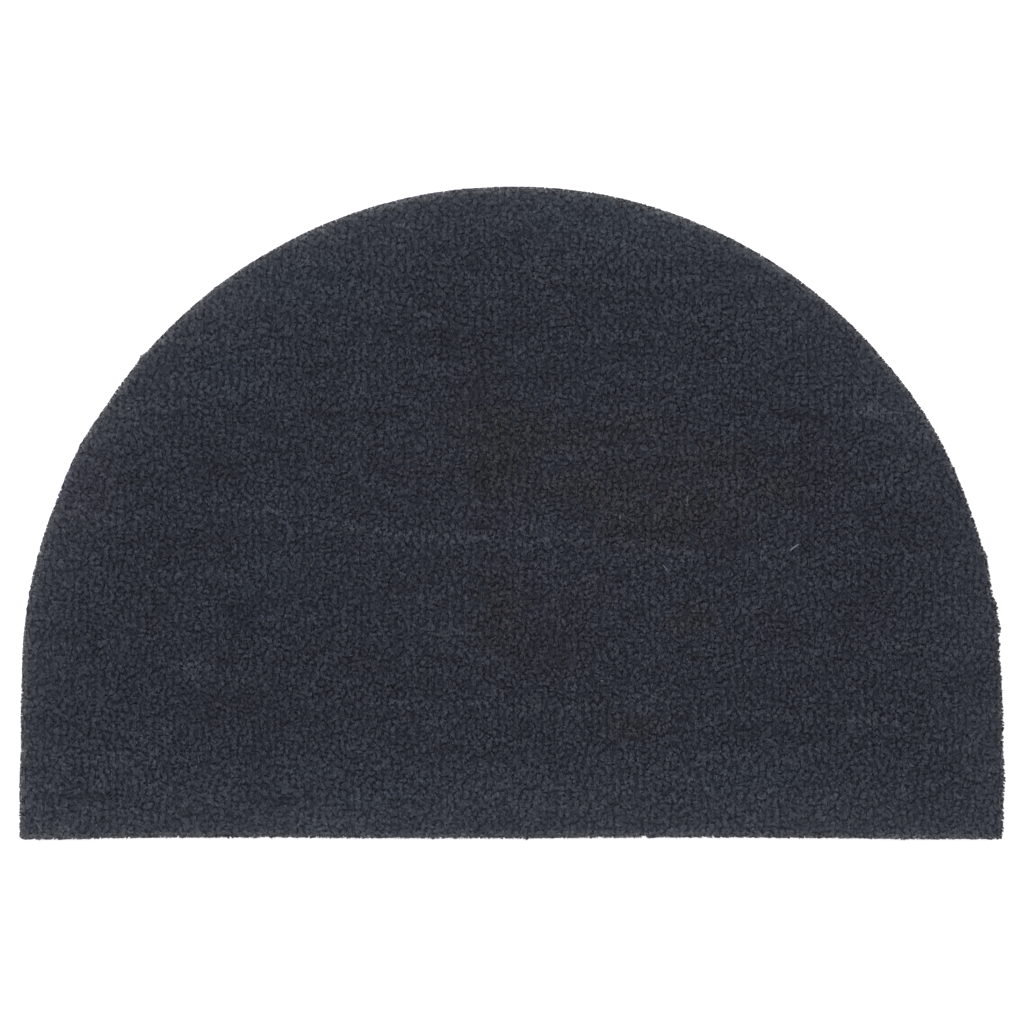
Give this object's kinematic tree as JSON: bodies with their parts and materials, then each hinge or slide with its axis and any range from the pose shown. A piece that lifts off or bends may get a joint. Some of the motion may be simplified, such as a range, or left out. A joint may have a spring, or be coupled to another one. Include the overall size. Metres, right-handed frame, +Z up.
{
  "type": "half-round coir doormat",
  "caption": "Half-round doormat of dense, level cut coir pile, lying flat, with a straight front edge, short straight sides and a half-circle arch.",
  "frame": {"origin": "middle of the underside's bounding box, on the surface the mat lies on", "axes": "+X along the straight front edge to the right as seen from above, +Y from the front edge towards the top of the arch, +Z up out of the pile"},
  "size_m": [0.6062, 0.4012, 0.015],
  "materials": {
    "coir_pile": "dyed coir, cut pile, matt"
  },
  "bodies": {
    "root": {"coir_mat": "coir_pile"}
  },
  "joints": []
}
